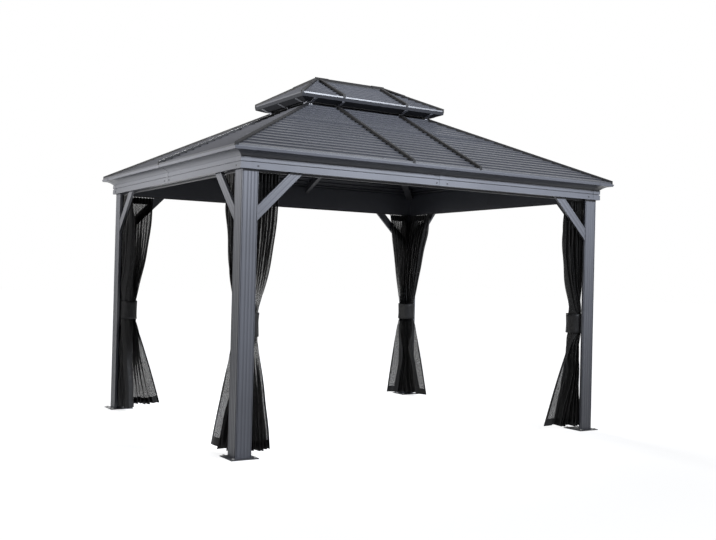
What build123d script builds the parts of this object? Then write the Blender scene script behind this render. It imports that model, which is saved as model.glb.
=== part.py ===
from build123d import *
import os
from math import atan, ceil, cos, hypot, radians, sin, sqrt, tan

# A hardtop garden gazebo: four L-shaped aluminium posts on flat feet, crown moulded beams
# braced at every corner, a stepped steel hip roof, a small vented upper roof, and four
# gathered netting curtains. X runs along the long side, the front looks along -Y and the
# origin is on the ground in the middle.

os.makedirs("parts", exist_ok=True)

# Overall frame
long_span = 3458.0       # outside of the posts, along the front
short_span = 2892.0      # outside of the posts, front to back
headroom = 2050.0        # ground to the underside of the beams
fit_gap = 0.3            # working clearance between pieces that are bolted together

# Feet and posts
foot_thickness = 6.0
foot_side = 212.0
foot_reach = 45.0        # how far a foot runs beyond the post's outer faces
anchor_radius = 6.0
anchor_inset = 22.0      # anchor hole centre to the foot's edge
post_wing = 126.0
post_depth = 22.0
corner_round = 3.0
groove_width = 6.0       # narrow groove beside the post's corner bead
groove_inset = 8.0       # groove centre to the corner, and to the wing's free edge
groove_depth = 3.0
flute_width = 25.0
flute_pitch = 26.0
flute_depth = 2.2
flute_count = 3

# Corner braces
brace_width = 74.0
brace_reach = 256.0      # along the beam, from the post to the brace's upper edge
brace_flute_width = 24.0
brace_flute_depth = 2.0
brace_flute_offset = 17.0

# Beams with their crown moulding
beam_proud = 24.5        # the beam's face stands this far outside the post's face
beam_width = 75.0
band_height = 41.0
reveal_height = 11.0     # shadow groove above the band
reveal_depth = 7.0
bead_height = 29.0
quirk = 4.0              # small step between the bead and the cove
quirk_height = 4.0
cove_height = 37.0
crown_overhang = 85.0    # the lip's edge outside the beam's face
lip_height = 18.0
lip_slant = 6.0          # the lip's face leans in this much at its foot
lip_nose = 10.0          # the cove's end to the lip's edge
lip_inset = 8.0          # top of the lip that shows in front of the roof sheets
beam_joint_gap = 1.0
cover_thickness = 1.5
corner_cap_length = 80.0
joint_cover_length = 55.0

# Curtain rails
rail_width = 16.0
rail_height = 14.0
rail_inset = 4.0         # from the beam's inner face

# Main roof
roof_pitch = 26.21       # degrees
roof_run = 1188.5        # lip's edge to the vent curb, on plan
course = 69.0            # one step of the roof sheet, along the slope
course_rise = 10.0       # how far each step stands above the next
sheet = 3.0
lap_course = 12          # the course where an upper length of sheet laps over the lower one
seam_offset = 330.0      # sheet seams on the long sides, from the middle
batten_width = 26.0
batten_height = 28.0
hip_cap_width = 32.0
hip_cap_height = 26.0
rafter_width = 40.0
hip_rafter_width = 70.0
rafter_depth = 55.0

# Vent curb and upper roof
curb_wall = 25.0
curb_drop = 80.0         # curb below the roof line
curb_stand = 16.0        # curb above the roof line
vent_gap = 22.0          # open height between the curb and the soffit
bracket_width = 14.0
bracket_depth = 20.0
upper_overhang = 98.0    # upper eave outside the curb
eave_height = 50.0
eave_fascia = 27.0       # the upright part of the upper eave, above its sloping underside
eave_slant = 5.0
eave_slope = 72.0        # how far the sloping underside reaches inwards
eave_wall = 8.0
soffit_thickness = 5.0
upper_rise = 222.0       # upper eave to its ridge
ridge_half = 370.0
upper_course = 58.0
upper_course_rise = 9.0
ridge_cap_width = 64.0
ridge_cap_height = 34.0

# Netting curtains, gathered at each post
curtain_top_half = 200.0     # half width across the corner, at the rail
curtain_top_depth = 80.0     # half thickness
curtain_body_half = 175.0    # a third of the way down
curtain_body_depth = 85.0
curtain_body_drop = 600.0
curtain_tie_half = 95.0
curtain_tie_depth = 78.0
curtain_hem_half = 235.0
curtain_hem_depth = 110.0
curtain_hem_height = 35.0
curtain_clear = 6.0          # from the post's inner faces
tie_height = 945.0           # middle of the band that ties a curtain
tie_band = 170.0
tie_thickness = 3.0
curtain_corner = 0.42        # the smaller, the more of a bundle's corners is cut off

# Worked out from the sizes above
half_x = long_span / 2
half_y = short_span / 2
pitch = radians(roof_pitch)
lip_out = beam_proud + crown_overhang
band_top = headroom + band_height
reveal_top = band_top + reveal_height
bead_top = reveal_top + bead_height
cove_start = bead_top + quirk_height
lip_under = cove_start + cove_height
lip_top = lip_under + lip_height
roof_rise = roof_run * tan(pitch)
curb_level = lip_top + roof_rise
curb_top = curb_level + curb_stand
soffit_level = curb_top + vent_gap
eave_level = soffit_level + eave_height
ridge_level = eave_level + upper_rise
lip_x = half_x + lip_out
lip_y = half_y + lip_out
curb_x = lip_x - roof_run
curb_y = lip_y - roof_run
upper_x = curb_x + upper_overhang
upper_y = curb_y + upper_overhang

UP = Vector(0, 0, 1)
SIDES = {
    "front": (Vector(0, -1, 0), Vector(1, 0, 0)),
    "right": (Vector(1, 0, 0), Vector(0, 1, 0)),
    "back": (Vector(0, 1, 0), Vector(-1, 0, 0)),
    "left": (Vector(-1, 0, 0), Vector(0, -1, 0)),
}
CORNERS = {
    "front_left": (-1, -1),
    "front_right": (1, -1),
    "back_right": (1, 1),
    "back_left": (-1, 1),
}


def of_side(side, x_value, y_value):
    """How far a side stands from the middle, then its half length."""
    return (y_value, x_value) if side in ("front", "back") else (x_value, y_value)


def seams_of(side):
    return (-seam_offset, seam_offset) if side in ("front", "back") else (0.0,)


def section_plane(side, along=0.0, level=0.0):
    """A cut across a side: x is outwards from the middle and y is up."""
    outward, run = SIDES[side]
    return Plane(origin=run * along + UP * level, x_dir=outward, z_dir=outward.cross(UP))


def face_plane(side, distance):
    """The elevation of a side: x runs to the right and y is up."""
    outward, run = SIDES[side]
    return Plane(origin=outward * distance, x_dir=run, z_dir=outward)


def plan_plane(side, level=0.0):
    """The plan of a side: x runs along it, and outwards is -y."""
    return Plane(origin=UP * level, x_dir=SIDES[side][1], z_dir=UP)


def corner_plane(corner, level=0.0, inset=0.0):
    """A plan at a post: x and y run inwards along its wings, from its outer corner."""
    sx, sy = CORNERS[corner]
    x_dir = Vector(-sx, 0, 0) if sx * sy > 0 else Vector(0, -sy, 0)
    y_dir = UP.cross(x_dir)
    outer = Vector(sx * half_x, sy * half_y, level)
    return Plane(origin=outer + (x_dir + y_dir) * inset, x_dir=x_dir, z_dir=UP)


def save(piece, name):
    piece.label = name
    export_step(piece, f"parts/{name}.step")


def draw_side_plan(outer, inner, half_outer, half_inner, trim, seams=(), gap=0.0):
    """One mitred side of a ring on plan, cut back by trim at the mitres and split at its seams."""
    spread = (half_outer - half_inner) / (outer - inner)
    start, end = half_outer - trim, half_inner - trim
    with BuildLine() as outline:
        if end > 0:
            Polyline((-start, -outer), (start, -outer), (end, -inner), (-end, -inner), close=True)
        else:
            Polyline((-start, -outer), (start, -outer), (0, start / spread - outer), close=True)
    make_face(outline.edges())
    for seam in seams:
        with Locations((seam, -(outer + inner) / 2)):
            Rectangle(gap, 2 * (outer - inner), mode=Mode.SUBTRACT)


def cut_to_plan(side, *plan, **splits):
    """Keep only what stands over this side's plan."""
    with BuildSketch(plan_plane(side)) as mask:
        draw_side_plan(*plan, **splits)
    extrude(mask.sketch, amount=2 * ridge_level, mode=Mode.INTERSECT)


def keep_between(outer_x, outer_y, inner_x, inner_y):
    """Keep only what stands between two rectangles on plan."""
    with BuildSketch(Plane.XY) as mask:
        Rectangle(2 * outer_x, 2 * outer_y)
        Rectangle(2 * inner_x, 2 * inner_y, mode=Mode.SUBTRACT)
    extrude(mask.sketch, amount=2 * ridge_level, mode=Mode.INTERSECT)


# Feet: a flat plate under each post, with four anchor holes
foot_middle = foot_side / 2 - foot_reach
anchor_spacing = foot_side - 2 * anchor_inset
for corner in CORNERS:
    with BuildPart() as foot:
        with BuildSketch(corner_plane(corner, inset=foot_middle)):
            Rectangle(foot_side, foot_side)
            with GridLocations(anchor_spacing, anchor_spacing, 2, 2):
                Circle(anchor_radius, mode=Mode.SUBTRACT)
        extrude(amount=foot_thickness)
    save(foot.part, f"foot_{corner}")

# Posts: an L-shaped extrusion with a bead, a groove and shallow flutes on both outer faces
flute_radius = (flute_width**2 / 4 + flute_depth**2) / (2 * flute_depth)
for corner in CORNERS:
    with BuildPart() as post:
        with BuildSketch(corner_plane(corner, foot_thickness)) as post_section:
            Rectangle(post_wing, post_depth, align=Align.MIN)
            Rectangle(post_depth, post_wing, align=Align.MIN)
            fillet(post_section.vertices().sort_by_distance(post_section.workplanes[0].origin)[0], corner_round)
            for inset in (groove_inset, post_wing - groove_inset):
                with Locations((inset, 0)):
                    Rectangle(groove_width, 2 * groove_depth, mode=Mode.SUBTRACT)
                with Locations((0, inset)):
                    Rectangle(2 * groove_depth, groove_width, mode=Mode.SUBTRACT)
            for index in range(flute_count):
                middle = post_wing / 2 + (index - (flute_count - 1) / 2) * flute_pitch
                with Locations((middle, flute_depth - flute_radius), (flute_depth - flute_radius, middle)):
                    Circle(flute_radius, mode=Mode.SUBTRACT)
        extrude(amount=headroom - foot_thickness)
    save(post.part, f"post_{corner}")

# Corner braces: a fluted bar at 45 degrees from each post wing up to the beam
brace_end = brace_reach + brace_width * sqrt(2)
brace_middle = (brace_reach + brace_end) / 4
brace_flute_radius = (brace_flute_width**2 / 4 + brace_flute_depth**2) / (2 * brace_flute_depth)
for side in SIDES:
    face, along = of_side(side, half_x, half_y)
    outward, run = SIDES[side]
    wing_end = along - post_wing - fit_gap
    for end, hand in (("right", 1), ("left", -1)):
        with BuildPart() as brace:
            with BuildSketch(face_plane(side, face)):
                with BuildLine():
                    Polyline(
                        (hand * wing_end, headroom - brace_reach),
                        (hand * (wing_end - brace_reach), headroom),
                        (hand * (wing_end - brace_end), headroom),
                        (hand * wing_end, headroom - brace_end),
                        close=True,
                    )
                make_face()
            extrude(amount=-post_depth)
            axis_point = outward * face + run * (hand * (wing_end - brace_middle))
            axis_point += UP * (headroom - brace_middle)
            with BuildSketch(Plane(origin=axis_point, x_dir=outward, z_dir=UP - run * hand)):
                outside = brace_flute_radius - brace_flute_depth
                with Locations((outside, brace_flute_offset), (outside, -brace_flute_offset)):
                    Circle(brace_flute_radius)
            extrude(amount=brace_end, both=True, mode=Mode.SUBTRACT)
        save(brace.part, f"brace_{side}_{end}")


def draw_crown(side, skin=0.0, mode=Mode.ADD):
    """The beam's section with its crown; a cover's outside is the same with a skin on it."""
    face = of_side(side, half_x, half_y)[0] + beam_proud
    inner = face - beam_width
    lip = face + crown_overhang
    nose = lip - lip_nose
    seat = lip - lip_inset
    back = face - quirk + skin
    groove = face - reveal_depth + skin
    front = face + skin
    low, high = band_top + skin, reveal_top - skin
    step = bead_top + skin
    under = lip_under - skin
    with BuildLine() as outline:
        Polyline(
            (back, cove_start), (back, step), (front, step), (front, high), (groove, high), (groove, low),
            (front, low), (front, headroom), (inner, headroom), (inner, lip_top + (lip - inner) * tan(pitch)),
            (seat, lip_top + lip_inset * tan(pitch)), (seat, lip_top), (lip + skin, lip_top),
            (lip + skin - lip_slant, under), (nose, under),
        )
        wide, tall = nose - back, under - cove_start
        RadiusArc((back, cove_start), (nose, under), (wide**2 + tall**2) / (2 * tall))
    make_face(outline.edges(), mode=mode)


# Beams: each side is two lengths of crown moulded extrusion, mitred at the corners
for side in SIDES:
    lip, far = of_side(side, lip_x, lip_y)
    depth = crown_overhang + beam_width
    with BuildPart() as beam:
        with BuildSketch(section_plane(side)):
            draw_crown(side)
        extrude(amount=far, both=True)
        cut_to_plan(side, lip, lip - depth, far, far - depth, fit_gap / 2, seams=(0.0,), gap=beam_joint_gap)
    save(beam.part, f"beam_{side}")


def crown_cover(side, start, end):
    """A thin cover that follows the crown from start to end, mitred where it passes the lip's corner."""
    lip, far = (value + cover_thickness for value in of_side(side, lip_x, lip_y))
    depth = crown_overhang + cover_thickness + beam_width
    with BuildPart() as cover:
        with BuildSketch(section_plane(side)):
            draw_crown(side, cover_thickness)
            draw_crown(side, mode=Mode.SUBTRACT)
        extrude(amount=far, both=True)
        cut_to_plan(side, lip, lip - depth, far, far - depth, 0.0)
        with BuildSketch(plan_plane(side)):
            with Locations(((start + end) / 2, -lip)):
                Rectangle(abs(end - start), 2 * depth)
        extrude(amount=2 * ridge_level, mode=Mode.INTERSECT)
    return cover.part


# Corner caps: the crown's cover bent round each corner
for corner, (sx, sy) in CORNERS.items():
    arms = []
    for side in ("front" if sy < 0 else "back", "left" if sx < 0 else "right"):
        run = SIDES[side][1]
        hand = 1 if run.X * sx + run.Y * sy > 0 else -1
        edge = of_side(side, half_x, half_y)[1] + beam_proud
        arms.append(crown_cover(side, hand * (edge - corner_cap_length), hand * (edge + 2 * crown_overhang)))
    with BuildPart() as cap:
        for arm in arms:
            add(arm)
    save(cap.part, f"corner_cap_{corner}")

# Joint covers: the same section over the joint in the middle of each beam
strips = [crown_cover(side, -joint_cover_length / 2, joint_cover_length / 2) for side in SIDES]
with BuildPart() as joint_covers:
    for strip in strips:
        add(strip)
save(joint_covers.part, "beam_joint_covers")

# Curtain rails under the beams' inner edges, mitred at the corners
rail_offset = beam_proud - beam_width + rail_inset + rail_width
rail_level = headroom - rail_height
with BuildPart() as rails:
    for side in SIDES:
        outer, half = of_side(side, half_x + rail_offset, half_y + rail_offset)
        with BuildSketch(plan_plane(side, rail_level)):
            draw_side_plan(outer, outer - rail_width, half, half - rail_width, fit_gap / 2)
        extrude(amount=rail_height)
save(rails.part, "curtain_rails")


def hip_bar(corner, low, high, rise, base, section, past=0.1):
    """A bar along a hip, from its low corner to its high one, with some length over at its ends."""
    sx, sy = CORNERS[corner]
    run_x, run_y = low[0] - high[0], low[1] - high[1]
    flat = hypot(run_x, run_y)
    climb = Vector(-sx * run_x, -sy * run_y, rise)
    across = UP.cross(climb)
    origin = Vector(sx * low[0], sy * low[1], base) - climb * 0.1
    tilt = flat / hypot(flat, rise)
    long_fall = rise / run_y * run_x / flat * tilt
    short_fall = rise / run_x * run_y / flat * tilt
    falls = (short_fall, long_fall) if across.Y * sy > 0 else (long_fall, short_fall)
    with BuildSketch(Plane(origin=origin, x_dir=across, z_dir=climb)) as profile:
        with BuildLine():
            section(*falls)
        make_face()
    extrude(profile.sketch, amount=climb.length * (1.1 + past))


def cap_section(width, height):
    """A cap that sits over two roof planes and has a peaked top."""
    half = width / 2

    def section(left_fall, right_fall):
        Polyline(
            (0, 0), (half, -right_fall * half), (half, height - 2 * right_fall * half),
            (0, height), (-half, height - 2 * left_fall * half), (-half, -left_fall * half), close=True,
        )
    return section


def rafter_section(width, depth):
    """A rafter whose top follows the two roof planes that meet over it."""
    half = width / 2

    def section(left_fall, right_fall):
        Polyline(
            (0, 0), (half, -right_fall * half), (half, -depth), (-half, -depth),
            (-half, -left_fall * half), close=True,
        )
    return section


# Roof frame: a rafter under every hip and every seam, from the beams to the curb
with BuildPart() as rafters:
    for corner in CORNERS:
        hip_bar(corner, (lip_x, lip_y), (curb_x, curb_y), roof_rise, lip_top,
                rafter_section(hip_rafter_width, rafter_depth))
    for side in SIDES:
        outer = of_side(side, lip_x, lip_y)[0]
        inner = outer - roof_run
        drop = rafter_depth / cos(pitch)
        for seam in seams_of(side):
            with BuildSketch(section_plane(side, seam)):
                with BuildLine():
                    Polyline(
                        (outer, lip_top), (inner, curb_level), (inner, curb_level - drop),
                        (outer, lip_top - drop), close=True,
                    )
                make_face()
            extrude(amount=rafter_width / 2, both=True)
    keep_between(
        half_x + beam_proud - beam_width - fit_gap, half_y + beam_proud - beam_width - fit_gap,
        curb_x + fit_gap, curb_y + fit_gap,
    )
save(rafters.part, "roof_rafters")


def stepped_sheet(start, level, angle, length, step, rise, lap=None):
    """A stepped sheet seen from its end, with one higher step where an upper length laps over it."""
    def at(along, normal):
        return (
            start - along * cos(angle) + normal * sin(angle),
            level + along * sin(angle) + normal * cos(angle),
        )

    count = ceil(length / step)
    top, under = [], [at(0, 0)]
    for index in range(count):
        low, high = index * step, (index + 1) * step
        stand = rise + 2 * sheet if index == lap else rise
        # The lowest riser is thick enough to be cut plumb.
        riser = sheet if index else sheet + (sheet + rise) * tan(angle)
        top += [at(low, sheet + stand), at(high, sheet)]
        under += [at(low + riser, 0), at(low + riser, stand * (1 - riser / step))]
    under.append(at(count * step, 0))
    with BuildLine() as outline:
        Polyline(*top, *reversed(under), close=True)
    make_face(outline.edges())


# Main roof: stepped steel sheets between the hips and the seams
hip_trim = (hip_cap_width / 2 + fit_gap) * sqrt(2)
seam_gap = batten_width + 2 * fit_gap
for side in SIDES:
    lip, far = of_side(side, lip_x, lip_y)
    with BuildPart() as roof:
        with BuildSketch(section_plane(side)):
            stepped_sheet(
                lip - lip_inset, lip_top + lip_inset * tan(pitch), pitch,
                (roof_run - lip_inset) / cos(pitch), course, course_rise, lap_course,
            )
        extrude(amount=far, both=True)
        cut_to_plan(
            side, lip - lip_inset, lip - roof_run + fit_gap, far - lip_inset, far - roof_run + fit_gap,
            hip_trim, seams=seams_of(side), gap=seam_gap,
        )
    save(roof.part, f"roof_{side}")

# Hip caps over the main roof's hips
with BuildPart() as hip_caps:
    for corner in CORNERS:
        hip_bar(corner, (lip_x, lip_y), (curb_x, curb_y), roof_rise, lip_top,
                cap_section(hip_cap_width, hip_cap_height))
    keep_between(lip_x - lip_inset, lip_y - lip_inset, curb_x + fit_gap, curb_y + fit_gap)
save(hip_caps.part, "hip_caps")


def batten(side, seam, start, end, start_level, end_level):
    """A square bar that lies on the roof line and covers a seam."""
    stand = batten_height / cos(atan((end_level - start_level) / (start - end)))
    with BuildSketch(section_plane(side, seam)) as profile:
        with BuildLine():
            Polyline(
                (start, start_level), (end, end_level), (end, end_level + stand),
                (start, start_level + stand), close=True,
            )
        make_face()
    extrude(profile.sketch, amount=batten_width / 2, both=True)


# Battens over the main roof's seams
with BuildPart() as battens:
    for side in SIDES:
        lip = of_side(side, lip_x, lip_y)[0]
        for seam in seams_of(side):
            batten(
                side, seam, lip - lip_inset, lip - roof_run + fit_gap,
                lip_top + lip_inset * tan(pitch), curb_level - fit_gap * tan(pitch),
            )
save(battens.part, "roof_battens")

# Vent curb: a frame round the opening at the top of the main roof
with BuildPart() as curb:
    for side in SIDES:
        outer, half = of_side(side, curb_x, curb_y)
        with BuildSketch(plan_plane(side, curb_level - curb_drop)):
            draw_side_plan(outer, outer - curb_wall, half, half - curb_wall, fit_gap / 2)
        extrude(amount=curb_drop + curb_stand)
save(curb.part, "vent_curb")

# Vent brackets: short uprights that hold the upper roof above the curb
with BuildPart() as brackets:
    with BuildSketch(Plane.XY.offset(curb_top)):
        for side in SIDES:
            outward, run = SIDES[side]
            standing = of_side(side, curb_x, curb_y)[0] - bracket_depth / 2
            size = of_side(side, bracket_depth, bracket_width)
            for seam in seams_of(side):
                spot = outward * standing + run * seam
                with Locations((spot.X, spot.Y)):
                    Rectangle(size[1] if side in ("front", "back") else size[0],
                              size[0] if side in ("front", "back") else size[1])
        with GridLocations(2 * curb_x - curb_wall, 2 * curb_y - curb_wall, 2, 2):
            Rectangle(curb_wall, curb_wall)
    extrude(amount=vent_gap)
save(brackets.part, "vent_brackets")

# Upper eave: a leaning fascia over a sloping underside and a flat soffit that rests on the brackets
upper_run_x = upper_x - ridge_half
upper_fall = {
    "front": upper_rise / upper_y,
    "back": upper_rise / upper_y,
    "left": upper_rise / upper_run_x,
    "right": upper_rise / upper_run_x,
}


def eave_length(side):
    """One side of the upper eave, mitred at its corners."""
    outer, half = of_side(side, upper_x, upper_y)
    depth = upper_overhang + curb_wall
    inner = outer - depth
    nose_level = eave_level - eave_fascia
    with BuildPart() as length:
        with BuildSketch(section_plane(side)):
            with BuildLine():
                Polyline(
                    (inner, soffit_level), (outer - eave_slope, soffit_level), (outer - eave_slant, nose_level),
                    (outer, eave_level), (outer - eave_wall, eave_level),
                    (outer - eave_wall - eave_slant, nose_level + soffit_thickness),
                    (outer - eave_slope, soffit_level + soffit_thickness),
                    (inner, soffit_level + soffit_thickness), close=True,
                )
            make_face()
        extrude(amount=half, both=True)
        cut_to_plan(side, outer, inner, half, half - depth, 0.0)
    return length.part


eave_lengths = [eave_length(side) for side in SIDES]
with BuildPart() as upper_eave:
    for length in eave_lengths:
        add(length)
save(upper_eave.part, "upper_eave")

# Upper roof: stepped sheets that meet at a short ridge
upper_flat = hypot(upper_run_x, upper_y)
upper_half_cap = hip_cap_width / 2 + fit_gap
for side in SIDES:
    outer, half = of_side(side, upper_x, upper_y)
    on_long = side in ("front", "back")
    summit, summit_half = (0.0, ridge_half) if on_long else (ridge_half, 0.0)
    spread = (half - summit_half) / (outer - summit)
    trim = upper_half_cap * upper_flat / (outer - summit)
    stop = ridge_cap_width / 2 + fit_gap if on_long else summit
    angle = atan(upper_fall[side])
    with BuildPart() as upper_roof:
        with BuildSketch(section_plane(side)):
            stepped_sheet(
                outer, eave_level, angle, (outer - summit) / cos(angle), upper_course, upper_course_rise,
            )
        extrude(amount=half, both=True)
        cut_to_plan(
            side, outer, stop, half, summit_half + (stop - summit) * spread, trim,
            seams=seams_of(side) if on_long else (), gap=seam_gap,
        )
    save(upper_roof.part, f"upper_roof_{side}")

# Upper battens, over the seams of the upper roof's long sides
with BuildPart() as upper_battens:
    for side in ("front", "back"):
        for seam in seams_of(side):
            stop = ridge_cap_width / 2 + fit_gap
            batten(side, seam, upper_y, stop, eave_level, ridge_level - stop * upper_fall[side])
save(upper_battens.part, "upper_battens")

# Ridge cap: one piece over the ridge and the four upper hips
with BuildPart() as ridge_cap:
    for corner in CORNERS:
        hip_bar(corner, (upper_x, upper_y), (ridge_half, 0), upper_rise, eave_level,
                cap_section(hip_cap_width, hip_cap_height), past=0.0)
    with BuildSketch(Plane.XY):
        Rectangle(2 * upper_x, 2 * upper_y)
    extrude(amount=2 * ridge_level, mode=Mode.INTERSECT)
    fall = upper_fall["front"]
    with BuildSketch(section_plane("front", level=ridge_level)):
        with BuildLine():
            cap_section(ridge_cap_width, ridge_cap_height)(fall, fall)
        make_face()
    extrude(amount=ridge_half, both=True)
save(ridge_cap.part, "ridge_cap")


# Netting curtains: a gathered bundle inside each post, tied with a fabric band
def curtain_inset(half, depth):
    """How far inside the post's corner a bundle of this size stands clear of both wings."""
    return post_depth + curtain_clear + sqrt((half**2 + depth**2) / 2)


def draw_ring(half, depth, mode=Mode.ADD):
    """A bundle's outline, lying across the corner: a rectangle with its corners cut off."""
    cut = depth * (1 - curtain_corner * depth / half)
    quarter = [(half, depth - cut), (half - cut, depth)]
    upper = quarter + [(-x, y) for x, y in reversed(quarter)]
    Polygon(*upper, *((-x, -y) for x, y in upper), rotation=-45, mode=mode)


def curtain_ring(corner, level, half, depth):
    with BuildSketch(corner_plane(corner, level, curtain_inset(half, depth))) as ring:
        draw_ring(half, depth)
    return ring.sketch


for corner in CORNERS:
    tie_top, tie_foot = tie_height + tie_band / 2, tie_height - tie_band / 2
    rings = [
        curtain_ring(corner, rail_level - fit_gap, curtain_top_half, curtain_top_depth),
        curtain_ring(corner, rail_level - curtain_body_drop, curtain_body_half, curtain_body_depth),
        curtain_ring(corner, tie_top, curtain_tie_half, curtain_tie_depth),
        curtain_ring(corner, tie_foot, curtain_tie_half, curtain_tie_depth),
        curtain_ring(corner, curtain_hem_height, curtain_hem_half, curtain_hem_depth),
    ]
    with BuildPart() as curtain:
        loft(rings, ruled=True)
    save(curtain.part, f"curtain_{corner}")

with BuildPart() as ties:
    for corner in CORNERS:
        inset = curtain_inset(curtain_tie_half, curtain_tie_depth)
        with BuildSketch(corner_plane(corner, tie_height - tie_band / 2, inset)):
            grow = fit_gap + tie_thickness
            draw_ring(curtain_tie_half + grow, curtain_tie_depth + grow)
            draw_ring(curtain_tie_half + fit_gap, curtain_tie_depth + fit_gap, mode=Mode.SUBTRACT)
        extrude(amount=tie_band)
save(ties.part, "curtain_ties")
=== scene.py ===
import math
import random

import bpy
from mathutils import Matrix, Vector


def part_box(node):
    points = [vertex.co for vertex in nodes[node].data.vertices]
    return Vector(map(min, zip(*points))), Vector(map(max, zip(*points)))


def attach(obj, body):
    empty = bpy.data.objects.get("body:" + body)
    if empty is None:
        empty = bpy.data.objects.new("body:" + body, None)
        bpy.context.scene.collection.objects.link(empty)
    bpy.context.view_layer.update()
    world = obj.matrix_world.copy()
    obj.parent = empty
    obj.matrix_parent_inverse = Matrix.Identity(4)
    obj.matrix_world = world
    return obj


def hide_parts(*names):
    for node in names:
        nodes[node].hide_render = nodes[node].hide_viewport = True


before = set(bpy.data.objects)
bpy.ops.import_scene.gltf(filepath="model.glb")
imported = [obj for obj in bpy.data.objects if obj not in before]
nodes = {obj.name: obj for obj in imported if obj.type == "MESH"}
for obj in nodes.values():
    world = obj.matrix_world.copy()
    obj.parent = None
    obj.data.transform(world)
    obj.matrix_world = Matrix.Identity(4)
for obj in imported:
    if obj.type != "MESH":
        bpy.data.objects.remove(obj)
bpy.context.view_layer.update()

# Feet
# A thick square steel plate under each post, powder coated like the post but in a darker grey that is
# painted shade for the dim light near the ground, with four anchor bolts into the slab. Each bolt has a
# washer and a hexagon head.
# Painted shade: the foot's grey is far darker than the post's, standing in for the shade near the ground.
FOOT_PAINTED_SHADE_GREY = (0.05, 0.052, 0.06)
ANCHOR_INSET = 0.022
WASHER_RADIUS = 0.0105
WASHER_HEIGHT = 0.0016
BOLT_HEAD_RADIUS = 0.0095
BOLT_HEAD_HEIGHT = 0.0064
COAT_GRAIN_PER_METRE = 850.0
COAT_CLOUDS_PER_METRE = 1.6
SKIN_DEPTH = 0.0004
CORNERS = ("front_left", "front_right", "back_right", "back_left")


def new_group(name, takes, gives):
    """A shader node group with named inputs (name, kind, value) and named outputs (name, kind)."""
    group = bpy.data.node_groups.new(name, "ShaderNodeTree")
    for label, kind, value in takes:
        group.interface.new_socket(label, in_out="INPUT", socket_type=kind).default_value = value
    for label, kind in gives:
        group.interface.new_socket(label, in_out="OUTPUT", socket_type=kind)
    start = group.nodes.new("NodeGroupInput")
    end = group.nodes.new("NodeGroupOutput")
    return group, start, end


def noise(tree, vector, scale, detail, roughness=0.5):
    node = tree.nodes.new("ShaderNodeTexNoise")
    node.inputs["Scale"].default_value = scale
    node.inputs["Detail"].default_value = detail
    node.inputs["Roughness"].default_value = roughness
    tree.links.new(vector, node.inputs["Vector"])
    return node.outputs["Fac"]


def remap(tree, value, low, high):
    """Spread the middle of a 0 to 1 value over low to high."""
    node = tree.nodes.new("ShaderNodeMapRange")
    node.inputs["From Min"].default_value = 0.3
    node.inputs["From Max"].default_value = 0.7
    node.inputs["To Min"].default_value = low
    node.inputs["To Max"].default_value = high
    tree.links.new(value, node.inputs["Value"])
    return node.outputs["Result"]


def mix_colours(tree, factor, first, second, blend="MIX"):
    """Blend two colours, each a socket or a fixed colour."""
    node = tree.nodes.new("ShaderNodeMix")
    node.data_type = "RGBA"
    node.blend_type = blend
    for source, label in ((factor, 0), (first, 6), (second, 7)):
        if isinstance(source, bpy.types.NodeSocket):
            tree.links.new(source, node.inputs[label])
        elif isinstance(source, tuple):
            node.inputs[label].default_value = (*source, 1.0)
        else:
            node.inputs[label].default_value = source
    return node.outputs[2]


def build_coat_group():
    """Powder coat: a cloudy colour, a roughness that varies and a pebbled skin."""
    takes = (
        ("Vector", "NodeSocketVector", (0.0, 0.0, 0.0)),
        ("Colour", "NodeSocketColor", (0.1, 0.1, 0.1, 1.0)),
        ("Roughness", "NodeSocketFloat", 0.45),
    )
    gives = (("Colour", "NodeSocketColor"), ("Roughness", "NodeSocketFloat"), ("Height", "NodeSocketFloat"))
    group, start, end = new_group("powder_coat_skin", takes, gives)
    clouds = noise(group, start.outputs["Vector"], COAT_CLOUDS_PER_METRE, 3.0)
    grain = noise(group, start.outputs["Vector"], COAT_GRAIN_PER_METRE, 2.0)
    shade = remap(group, clouds, 0.90, 1.08)
    flecks = remap(group, grain, 0.95, 1.05)
    both = group.nodes.new("ShaderNodeMath")
    both.operation = "MULTIPLY"
    group.links.new(shade, both.inputs[0])
    group.links.new(flecks, both.inputs[1])
    scaled = group.nodes.new("ShaderNodeVectorMath")
    scaled.operation = "SCALE"
    group.links.new(start.outputs["Colour"], scaled.inputs[0])
    group.links.new(both.outputs[0], scaled.inputs["Scale"])
    rough = group.nodes.new("ShaderNodeMath")
    rough.operation = "MULTIPLY"
    group.links.new(start.outputs["Roughness"], rough.inputs[0])
    group.links.new(remap(group, clouds, 0.92, 1.1), rough.inputs[1])
    group.links.new(scaled.outputs[0], end.inputs["Colour"])
    group.links.new(rough.outputs[0], end.inputs["Roughness"])
    group.links.new(grain, end.inputs["Height"])
    return group


coat_group = build_coat_group()


def place_group(tree, group, vector, **values):
    """Put a node group in a material, on a vector and with its own values."""
    node = tree.nodes.new("ShaderNodeGroup")
    node.node_tree = group
    tree.links.new(vector, node.inputs["Vector"])
    for label, value in values.items():
        node.inputs[label].default_value = value
    return node


def bump(tree, height, strength, distance):
    node = tree.nodes.new("ShaderNodeBump")
    node.inputs["Strength"].default_value = strength
    node.inputs["Distance"].default_value = distance
    tree.links.new(height, node.inputs["Height"])
    return node.outputs["Normal"]


def coated_metal(name, colour, roughness, specular=0.5, pebble=0.25):
    """Powder coated metal of one colour."""
    material = bpy.data.materials.new(name)
    material.use_nodes = True
    tree = material.node_tree
    shader = tree.nodes["Principled BSDF"]
    shader.inputs["Specular IOR Level"].default_value = specular
    place = tree.nodes.new("ShaderNodeTexCoord").outputs["Object"]
    skin = place_group(tree, coat_group, place, Colour=(*colour, 1.0), Roughness=roughness)
    tree.links.new(skin.outputs["Colour"], shader.inputs["Base Color"])
    tree.links.new(skin.outputs["Roughness"], shader.inputs["Roughness"])
    tree.links.new(bump(tree, skin.outputs["Height"], pebble, SKIN_DEPTH), shader.inputs["Normal"])
    return material


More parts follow.
